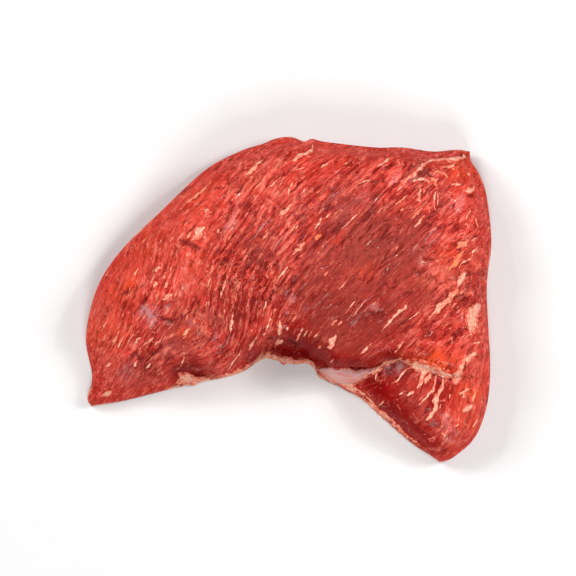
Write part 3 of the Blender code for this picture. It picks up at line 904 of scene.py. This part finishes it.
BROAD_END_FAT = (
    (7.6, 0.1, ((94.4, -1), (93.3, -8), (90.6, -18)), 0.8), (2.2, 0.1, ((91, -16.5), (95.5, -12.8))),
    (1.3, 0.1, ((92, -21.8), (96.5, -20.9))), (3.6, 0.1, ((88, -33), (91, -28.6), (95.4, -26.4)), 1.2),
    (3, 0.15, ((84, -46.8), (91, -44))), (1.4, 0.15, ((87.5, -44.5), (86, -49.5))),
    (3.8, 0.2, ((85.5, -55.8), (93, -53))), (1, 0.2, ((95, -59.5), (91.5, -64.8))),
    (3.4, 0.25, ((83.8, 6.2), (80, 1.3), (76, -1.8), (67.5, -10.8)), 0.8),
    (6, 0, ((82.6, 5.6), (86, 9.5), (88.7, 14.2))), (3.2, 0.6, ((82.5, 25), (86, 28), (89.5, 30.2))),
    (3, 0.85, ((78.5, 13.5), (83, 20), (87, 25.2))), (1.8, 0.2, ((90.5, 29), (94, 31))),
    (2.2, 0.2, ((91.5, 22.4), (96, 26))), (1.1, 0.1, ((93, 22.8), (91, 19.8), (86, 18.3), (83.8, 15))),
    (3.4, 0.05, ((87.4, 53.6), (90, 54.2), (92.6, 53.8))), (4.4, 0.05, ((91.6, 53.6), (94.2, 57.2))),
    (2.4, 0.3, ((89.4, 64), (91.6, 62.4))), (1.2, 0.2, ((91, 44.8), (87.3, 40))),
    (1.2, 0.3, ((95, 36), (92.6, 41))), (1.8, 0.5, ((94, -45.5), (92, -51.5))),
)
UNDERSIDE_FAT = (
    (4, 0.15, ((-57, -42.2), (-52, -40.7), (-46, -39.3), (-41, -38.6))),
    (3.2, 0.1, ((-12.5, -28.8), (-7.5, -29), (-2, -30), (4, -31), (8.5, -30.6))),
    (2.4, 0.1, ((7, -29.8), (11, -31.8), (13.4, -34.6))),
    (4.2, 0.15, ((13.6, -33), (16, -37.4), (22.2, -40.4), (29.5, -44.4), (38, -49.2))),
    (0.9, 0.2, ((-41, -39.9), (-33, -38.3), (-24, -35.6), (-14, -29.6)), 1, 0.6),
    (0.9, 0.25, ((36, -49), (45.6, -57.5), (59.6, -70.2), (70, -77)), 0.6, 0.6),
)
STRIP_SIDES = 10
STRIP_STEP = 0.8
STRIP_SINK = 0.7
# The height of a strip, and what each millimetre of width adds.
STRIP_HEIGHT = (0.22, 0.16)
END_ROUNDNESS = 0.6
END_LIFT = 0.5
WOBBLE = 0.5
# The length of a wobble as a share of the width, and its least.
WOBBLE_LENGTH = (0.8, 1.1)
WIDTH_SEED = 100
DRIFT_SEED = 200
# How far apart the strips are in their own noise.
NOISE_STEP = 9.7
# How much of the painted shade of a cut shows on fat.
FAT_CUT_SHADE = 0.3


def strip_rings(strip, number):
    """Plan places, lifts, fat values and own coordinates of one strip: rings of a flat lens.

    The half width is the sine of the share along, rounded, with a seeded wobble. Going round a
    ring, the side step is the cosine and the lift the sine; its underside is sunk in the meat."""
    width, orange, path, *rest = strip
    skew, strength = (*rest, 1, 1)[:2]
    line = smooth_line(path) if len(path) > 2 else np.array(path, float)
    length = np.hypot(*np.diff(line, axis=0).T).sum()
    t = np.linspace(0, 1, max(5, int(length / STRIP_STEP)) + 2)
    at = point_along(line, t)
    ahead = np.gradient(at, axis=0)
    ahead /= np.linalg.norm(ahead, axis=1, keepdims=True)
    side = np.stack([-ahead[:, 1], ahead[:, 0]], -1)
    waves = t * length / max(WOBBLE_LENGTH[0] * width, WOBBLE_LENGTH[1])
    half = width / 2 * np.sin(np.pi * t ** skew) ** END_ROUNDNESS
    half = half * (1 + WOBBLE * ripple(WIDTH_SEED + number, waves))
    drift = WOBBLE * half * ripple(DRIFT_SEED + number, waves)
    angle = 2 * np.pi * np.arange(STRIP_SIDES) / STRIP_SIDES
    out, up = np.cos(angle), np.sin(angle)
    places = at[:, None] + side[:, None] * (half[:, None] * out + drift[:, None])[..., None]
    rise = STRIP_HEIGHT[0] + STRIP_HEIGHT[1] * width
    tapered = (half / half.max())[:, None] ** END_LIFT
    lift = np.where(up > 0, rise * up, STRIP_SINK * up) * tapered
    core = np.where(up > 0, 1 - np.abs(out), 0) * tapered
    own = np.stack(np.broadcast_arrays(
        half[:, None] * out, (t * length)[:, None], np.full(core.shape, NOISE_STEP * number)), -1)
    fat = np.stack([core, np.full(core.shape, orange), np.full(core.shape, strength)], -1)
    # The first and the last ring are one point each.
    keep = np.ones(core.shape, bool)
    keep[0, 1:] = keep[-1, 1:] = False
    return places, lift, fat, own, keep


def strips_piece(name, strips, material, first_number):
    """One joined piece of all these strips, laid on the finished surface of the meat."""
    columns, faces, count = [], [], 0
    for number, strip in enumerate(strips, first_number):
        places, lift, fat, own, keep = strip_rings(strip, number)
        index = count + np.cumsum(keep.ravel()).reshape(keep.shape) - 1
        index[0], index[-1] = index[0, 0], index[-1, 0]
        turned = np.roll(index, -1, axis=1)
        corners = np.stack([index[1:-2], turned[1:-2], turned[2:-1], index[2:-1]], -1)
        faces += corners.reshape(-1, 4).tolist()
        faces += np.stack([index[0], turned[1], index[1]], -1).tolist()
        faces += np.stack([index[-1], index[-2], turned[-2]], -1).tolist()
        columns.append([part[keep] for part in (places, lift, fat, own)])
        count += int(keep.sum())
    places, lift, fat, own = (np.concatenate(parts) for parts in zip(*columns))
    surface, normal, _, fibre, cut_shade = meat_surface(places[:, 0], places[:, 1])
    points = surface + normal * lift[:, None]
    piece = new_piece(name, points, faces)
    colour_marks(piece, points, fibre, FAT_CUT_SHADE * cut_shade, normal[:, 2])
    give_attribute(piece, "fat", fat)
    give_attribute(piece, "own", own)
    piece.data.materials.append(material)
    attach(piece, "root")


SALMON = (0.86, 0.15, 0.085, 1)
FAT_ORANGE = (0.9, 0.23, 0.06, 1)
FAT_WHITE = (0.98, 0.68, 0.52, 1)
FAT_PINK = (0.86, 0.23, 0.155, 1)
RAGGEDNESS = 2.2


def fat_look(tree, meat):
    """Soft fat: cream inside, salmon where it thins, and meat where it ends, in ragged edges.

    The attribute fat holds how far inside a place is, how orange the strip is, and how strong."""
    own = vector_of(tree, "own")
    inside, orange, strength = parts_of(tree, vector_of(tree, "fat"))
    ragged = streak(tree, own, 0.9, 2, 3, 0)
    body = combined(tree, "ADD", inside, times(tree, off_middle(tree, ragged), RAGGEDNESS))
    whiter = spread(tree, streak(tree, own, 1.5, 4, 2, 7.7), 0.4, 0.65)
    cream = tint(tree, orange, tint(tree, whiter, FAT_CREAM, FAT_WHITE), FAT_ORANGE)
    mottled = spread(tree, streak(tree, own, 0.7, 1.8, 2, 3.3), 0.36, 0.52)
    cream = tint(tree, times(tree, strength, mottled), FAT_PINK, cream)
    colour = tint(tree, spread(tree, body, 0, 0.4), meat["Colour"], SALMON)
    colour = tint(tree, spread(tree, body, 0.2, 0.75), colour, cream)
    return colour, combined(tree, "ADD", meat["Height"], times(tree, ragged, 0.6))


beef_fat = wet_material("beef_fat", fat_look, 0.45, 0.30, 0.35)
strips_piece("flap_fat", FLAP_SEAMS, beef_fat, 0)
strips_piece("shoulder_fat", SHOULDER_SEAMS, beef_fat, 20)
strips_piece("broad_end_fat", BROAD_END_FAT, beef_fat, 40)
strips_piece("underside_fat", UNDERSIDE_FAT, beef_fat, 70)


# The membrane, a thin tough skin of connective tissue, pinkish grey and wet. It ties the flap to
# the main muscle at the inner edge, pulled into a few creases.
MEMBRANE = ((9.4, 0, ((14, -35.2), (22, -38.9), (30, -40), (37, -37.6), (44.5, -33.8)), 1.1),)
SHEEN_LAVENDER = (0.74, 0.41, 0.4, 1)
MEMBRANE_PINK = (0.8, 0.26, 0.2, 1)
CREASE_SHADE_PURPLE = (0.17, 0.035, 0.035, 1)


def membrane_look(tree, meat):
    """Silvery skin: lavender grey with pink showing through, and dark purple creases.

    The lavender streaks are a painted sheen, and the dark purple creases are painted shade.
    """
    own = vector_of(tree, "own")
    sheen = streak(tree, own, 1.1, 9, 3, 1.3)
    inside = parts_of(tree, vector_of(tree, "fat"))["X"]
    ragged = streak(tree, own, 2, 4, 3, 2)
    body = combined(tree, "ADD", inside, times(tree, ragged, 0.9))
    skin = tint(tree, spread(tree, sheen, 0.4, 0.6), MEMBRANE_PINK, SHEEN_LAVENDER)
    crease_shade = spread(tree, streak(tree, own, 0.9, 7, 1, 5.5), 0.33, 0.26)
    skin = tint(tree, crease_shade, skin, CREASE_SHADE_PURPLE)
    return tint(tree, spread(tree, body, 0.5, 0.75), meat["Colour"], skin), sheen


membrane = wet_material("membrane", membrane_look, 0.38, 0.22, 0.6)
strips_piece("membrane", MEMBRANE, membrane, 80)


# The marbling: thin flecks of fat between the fibres, which lie along the grain in the muscle's
# surface. The larger ones are placed one by one, and the small ones are strewn.
FLECKS = (
    (2.2, 0.5, ((-38, 60.3), (-48, 51.3), (-55.5, 45.3))),
    (2.6, 0.25, ((-13, 71.3), (-17, 66.8), (-22, 59.8)), 1.2),
    (4.6, 0.1, ((-49, 28.6), (-44.6, 31.2), (-41.6, 36.4)), 1.3),
    (2.4, 0.4, ((-50.5, 30.4), (-47.4, 34))), (2, 0.2, ((-41.5, 42.3), (-39.5, 45))),
    (2.2, 0.2, ((-66.2, 13.6), (-63.3, 16.5))), (1.9, 0.35, ((-67.2, 5.6), (-65.3, 9.4))),
    (2, 0.2, ((-62.8, -0.5), (-57, 3))), (1.9, 0.3, ((-77, 11.8), (-74.8, 16.6))),
    (1.4, 0.1, ((-30, 13.3), (-34.5, -0.8))), (1.8, 0.15, ((-0.5, 16.8), (-5.8, 9.5)), 1.2),
    (0.9, 0.2, ((-3.5, 60.8), (-10.5, 54.8))), (1.1, 0.1, ((-91, -10.8), (-94, -17.3))),
    (1.3, 0.2, ((-84, -15.3), (-89, -25.3))), (1, 0.3, ((-81.5, -17), (-85.5, -25))),
    (1.7, 0.3, ((-53.5, -18.8), (-48, -13.8))), (1.8, 0, ((-77, -21.8), (-73, -18))),
    (1.3, 0.05, ((-73, -23.3), (-66.5, -18.3))), (1.2, 0.05, ((-67, -22.8), (-62.6, -19.2))),
    (1, 0.1, ((-72, -34.8), (-67.6, -30.4))), (1.3, 0.1, ((-77.5, -34.6), (-75.3, -29.8))),
    (1.6, 0.2, ((-92.8, -34.3), (-88.8, -31.6))), (2.4, 0.3, ((-94.5, -49.8), (-88, -47.3))),
    (0.9, 0.1, ((-52, -26.8), (-52.5, -30.8), (-54.5, -35.3))),
    (1.6, 0.1, ((-27.5, -5.6), (-29.2, -17.8))), (2.1, 0.05, ((-15.8, -16.8), (-18.8, -27.8)), 1.7),
    (1, 0.1, ((-11, 0), (-13, -6.8))), (1.4, 0.1, ((-8, -5.3), (-11, -14.3), (-12.6, -19.2))),
    (3, 0.05, ((-4.3, -8.4), (-5.2, -18.2)), 1.8), (1.3, 0.05, ((-0.5, -13), (-0.9, -15.7))),
    (3.2, 0.2, ((-7.6, -25.2), (-2.8, -21.2))), (2.6, 0.2, ((-12.8, -28.6), (-7.8, -25.4))),
    (1.3, 0.1, ((7, -13.6), (3.3, -21.7))), (1, 0.1, ((11.5, -15.3), (8.3, -20))),
    (0.9, 0.1, ((9.5, -14.6), (6.8, -19.2))), (1.1, 0.05, ((-22, -25), (-30.8, -37.2))),
    (3.4, 0, ((19.3, -25.2), (21.2, -22), (23.2, -16.8)), 0.6),
    (1.9, 0.05, ((41.2, -21), (34.2, -27.6)), 1.2), (1, 0.1, ((26.2, -10), (23.8, -13))),
    (2.1, 0.05, ((58.8, -0.9), (56, -4.3), (50.5, -9.8), (45.2, -16.2)), 0.7),
    (1, 0.1, ((65.2, -5), (58.8, -10))), (1, 0.15, ((37.2, -0.6), (30.8, -9))),
    (0.9, 0.15, ((43.2, -0.6), (39.8, -4.6))), (0.9, 0.15, ((32.7, -0.6), (27.3, -7.5))),
    (1.5, 0.5, ((56.7, -20), (51.8, -26.5))),
    (4.2, 0.1, ((12.2, 78.6), (9.8, 75.4), (5, 71.4), (1.2, 68.6)), 1.1),
    (3.6, 0.05, ((10.6, 78.2), (13.2, 78.6))), (1.4, 0.3, ((19.7, 68.9), (14.3, 64.6))),
    (0.9, 0.2, ((8.1, 65.9), (2.9, 63.7))), (1.1, 0.1, ((2, 58.5), (0.4, 54.8), (-0.7, 51))),
    (1, 0.1, ((8, 55), (5.9, 50.6))), (3, 0.3, ((-5, 40.8), (2.2, 47.6))),
    (1.6, 0.05, ((44.2, 65), (50.8, 73))), (1.1, 0.1, ((33.8, 57.2), (40.7, 59.4))),
    (1.4, 0.2, ((16.7, 41), (14.2, 37.2), (12.3, 34.6))), (1.5, 0.05, ((17.8, 40), (21.2, 43))),
    (1.9, 0.9, ((12.3, 29.5), (16.3, 32.5))), (1.9, 0.5, ((8.2, 28.5), (1.3, 21.5)), 0.9),
    (0.8, 0.05, ((36.2, 44.5), (23.8, 32.6))), (1, 0.1, ((58.7, 52), (52.3, 46.6))),
    (1.3, 0.05, ((55.2, 43.4), (56.8, 45.1))), (1.3, 0.2, ((67.2, 42), (61.3, 35))),
    (1.1, 0.1, ((72.5, 53.8), (71.5, 47.3), (72.5, 43.6))), (1.7, 0.2, ((63.3, 50), (65.2, 55.6))),
    (1.3, 0.05, ((64.8, 17.7), (66.8, 19.5))), (1.3, 0.05, ((72.2, 18.4), (73.8, 19.8))),
    (1.3, 0.2, ((-76, 29.3), (-70.5, 34.6))),
)
# The strewn flecks: how many, seed, shortest and longest, thinnest and thickest.
STREWN = (140, 7, (2.5, 9.0), (0.7, 1.4))
STREWN_MARGIN = 7.0
# The chance that a fleck is kept where nothing is marbled.
STREWN_EVERYWHERE = 0.1


def strewn_flecks():
    """Short flecks along the grain at seeded random places, more in the marbled zones."""
    count, seed, lengths, widths = STREWN
    random = np.random.default_rng(seed)
    x = random.uniform(outline[:, 0].min(), outline[:, 0].max(), count * 2)
    y = random.uniform(outline[:, 1].min(), outline[:, 1].max(), count * 2)
    wanted = random.uniform(0, 1, len(x)) < zone(MARBLED_ZONES, x, y) + STREWN_EVERYWHERE
    good = np.flatnonzero(wanted & (heights(x, y)[2] > STREWN_MARGIN))[:count]
    x, y = x[good], y[good]
    # The grain runs square to the steepest rise of the distance across it.
    rise_x = grain(x + SLOPE_STEP, y)[0] - grain(x, y)[0]
    rise_y = grain(x, y + SLOPE_STEP)[0] - grain(x, y)[0]
    size = np.hypot(rise_x, rise_y)
    ahead = np.stack([rise_y, -rise_x], -1) / size[:, None]
    length = random.uniform(*lengths, len(x)) * random.uniform(0.5, 1, len(x))
    width = random.uniform(*widths, len(x))
    orange = random.uniform(0, 1, len(x)) ** 2
    skew = random.uniform(0.7, 1.5, len(x))
    a = np.stack([x, y], -1) - ahead * length[:, None] / 2
    b = np.stack([x, y], -1) + ahead * length[:, None] / 2
    strength = random.uniform(0, 1, len(x)) ** 2
    return list(zip(width, orange, np.stack([a, b], 1), skew, strength))


strips_piece("marbling", (*FLECKS, *strewn_flecks()), beef_fat, 100)


# The floor and the light: a plain pale floor, and soft white studio lights round it.
FLOOR_SIZE = 6000.0


def studio_floor():
    """A flat pale sheet under the piece."""
    half = FLOOR_SIZE / 2
    corners = np.array([(-half, -half, 0), (half, -half, 0), (half, half, 0), (-half, half, 0)])
    floor = new_piece("floor", corners + shift, [(0, 1, 2, 3)])
    material, _, shader = new_material("floor_white")
    shader.inputs["Base Color"].default_value = (0.80, 0.80, 0.80, 1)
    shader.inputs["Roughness"].default_value = 0.8
    floor.data.materials.append(material)


def soft_light(name, place, size, power):
    """A square area light, its place and size in metres, facing the middle of the piece."""
    light = bpy.data.lights.new(name, "AREA")
    light.size = size
    light.energy = power
    made = bpy.data.objects.new(name, light)
    made.location = place
    x, y, z = place
    made.rotation_euler = (math.atan2(math.hypot(x, y), z), 0, math.atan2(y, x) + math.pi / 2)
    bpy.context.scene.collection.objects.link(made)


studio_floor()
soft_light("key", (-0.95, 0.60, 1.0), 0.5, 11.5)
soft_light("fill", (1.05, 0.30, 1.0), 0.5, 9.5)
soft_light("front", (0.15, -1.1, 1.2), 0.6, 11.5)
soft_light("glint_left", (-0.5, 0.65, 0.9), 0.06, 1.2)
soft_light("glint_right", (0.75, 0.35, 0.8), 0.06, 1.6)
soft_light("glint_top", (0.10, 0.30, 1.3), 0.06, 1.2)
world = bpy.data.worlds.new("studio")
bpy.context.scene.world = world
world.use_nodes = True
world.node_tree.nodes["Background"].inputs["Color"].default_value = (1, 1, 1, 1)
world.node_tree.nodes["Background"].inputs["Strength"].default_value = 0.14
bpy.context.scene.view_settings.view_transform = "Standard"

# The camera looks straight down. The frame is 288 mm wide at the rim of the piece.
FRAME_WIDTH = 288.0
FRAME_MIDDLE = (-0.5, 5.75)
CAMERA_HEIGHT = 2400.0
RIM_LEVEL = 5.0
camera = bpy.data.objects.new("camera", bpy.data.cameras.new("camera"))
camera.data.sensor_width = 36.0
camera.data.lens = 36.0 * (CAMERA_HEIGHT - RIM_LEVEL) / FRAME_WIDTH
camera.location = (
    (FRAME_MIDDLE[0] - shift[0]) * MM, (FRAME_MIDDLE[1] - shift[1]) * MM, CAMERA_HEIGHT * MM)
bpy.context.scene.collection.objects.link(camera)
bpy.context.scene.camera = camera
